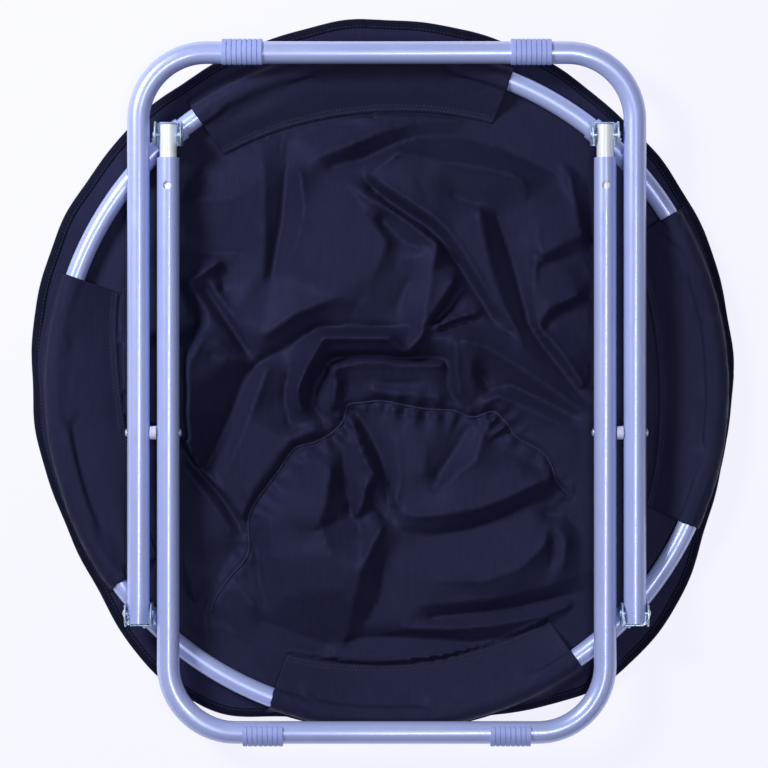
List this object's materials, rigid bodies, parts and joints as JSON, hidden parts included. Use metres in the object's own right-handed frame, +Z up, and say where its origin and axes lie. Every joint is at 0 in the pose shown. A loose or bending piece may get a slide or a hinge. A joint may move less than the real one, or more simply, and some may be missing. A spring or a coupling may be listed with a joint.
{
  "type": "folding moon chair",
  "caption": "Folding moon chair, folded flat on its face: padded round seat on a steel ring, with two crossed U-shaped tube legs and ribbed foot pads.",
  "frame": {"origin": "on the floor under the centre of the seat ring, in the seat's face, with the chair folded and lying face down", "axes": "+Z up, out of the back of the folded chair; +Y towards the seat's back; +X to the right seen from above"},
  "size_m": [0.79, 0.8091, 0.0686],
  "materials": {
    "frame_paint": "gloss powder coat",
    "zinc_steel": "bright zinc plate",
    "chrome_steel": "polished chrome",
    "spring_steel": "plain",
    "foot_plastic": "moulded, ribbed",
    "nylon": "moulded",
    "seat_fabric": "coated oxford weave, padded"
  },
  "bodies": {
    "seat_frame": {"ring_arc_back_right": "frame_paint", "ring_arc_back_left": "frame_paint", "ring_arc_front_left": "frame_paint", "ring_arc_front_right": "frame_paint", "hinge_bracket_front_left": "zinc_steel", "hinge_bracket_front_right": "zinc_steel", "hinge_bracket_back_left": "zinc_steel", "hinge_bracket_back_right": "zinc_steel", "hinge_rivet_front_left": "zinc_steel", "hinge_rivet_front_right": "zinc_steel", "hinge_rivet_back_left": "zinc_steel", "hinge_rivet_back_right": "zinc_steel", "seat_pad": "seat_fabric", "rim_binding": "seat_fabric", "bowl_lining": "seat_fabric", "bowl_base": "seat_fabric", "sleeve_back": "seat_fabric", "sleeve_left": "seat_fabric", "sleeve_front": "seat_fabric", "sleeve_right": "seat_fabric"},
    "outer_leg": {"outer_leg_tube": "frame_paint", "pivot_rivet_outer_left": "zinc_steel", "pivot_rivet_outer_right": "zinc_steel", "pivot_spacer_left": "nylon", "pivot_spacer_right": "nylon", "foot_pad_outer_left": "foot_plastic", "foot_pad_outer_right": "foot_plastic"},
    "inserts": {"insert_tube_left": "chrome_steel", "insert_tube_right": "chrome_steel", "insert_cap_left": "foot_plastic", "insert_cap_right": "foot_plastic", "insert_guide_left": "nylon", "insert_guide_right": "nylon", "button_spring_left": "spring_steel", "button_spring_right": "spring_steel"},
    "inner_leg": {"inner_leg_tube": "frame_paint", "pivot_rivet_inner_left": "zinc_steel", "pivot_rivet_inner_right": "zinc_steel", "mouth_bush_left": "nylon", "mouth_bush_right": "nylon", "foot_pad_inner_left": "foot_plastic", "foot_pad_inner_right": "foot_plastic"},
    "snap_button_left": {"snap_button_left": "spring_steel"},
    "snap_button_right": {"snap_button_right": "spring_steel"}
  },
  "joints": [
    {"name": "outer_leg_fold", "type": "hinge", "parent": "seat_frame", "child": "outer_leg", "pos_m": [0, -0.25, 0.0535], "axis": [1, 0, 0], "range_deg": [0, 70]},
    {"name": "insert_fold", "type": "hinge", "parent": "seat_frame", "child": "inserts", "pos_m": [0, 0.28, 0.0535], "axis": [-1, 0, 0], "range_deg": [0, 22.25]},
    {"name": "inner_leg_slide", "type": "slide", "parent": "inserts", "child": "inner_leg", "axis": [0, -1, 0], "range_m": [0, 0.1689]},
    {"name": "snap_button_left_press", "type": "slide", "parent": "inserts", "child": "snap_button_left", "axis": [0, 0, -1], "range_m": [0, 0.003], "stiffness_N_per_m": 300, "deforming": ["button_spring_left"]},
    {"name": "snap_button_right_press", "type": "slide", "parent": "inserts", "child": "snap_button_right", "axis": [0, 0, -1], "range_m": [0, 0.003], "stiffness_N_per_m": 300, "deforming": ["button_spring_right"]}
  ],
  "couplings": [
    {"joint": "insert_fold", "follows": "outer_leg_fold", "ratio": 0.31648},
    {"joint": "inner_leg_slide", "follows": "outer_leg_fold", "m_per_rad": 0.13783}
  ]
}
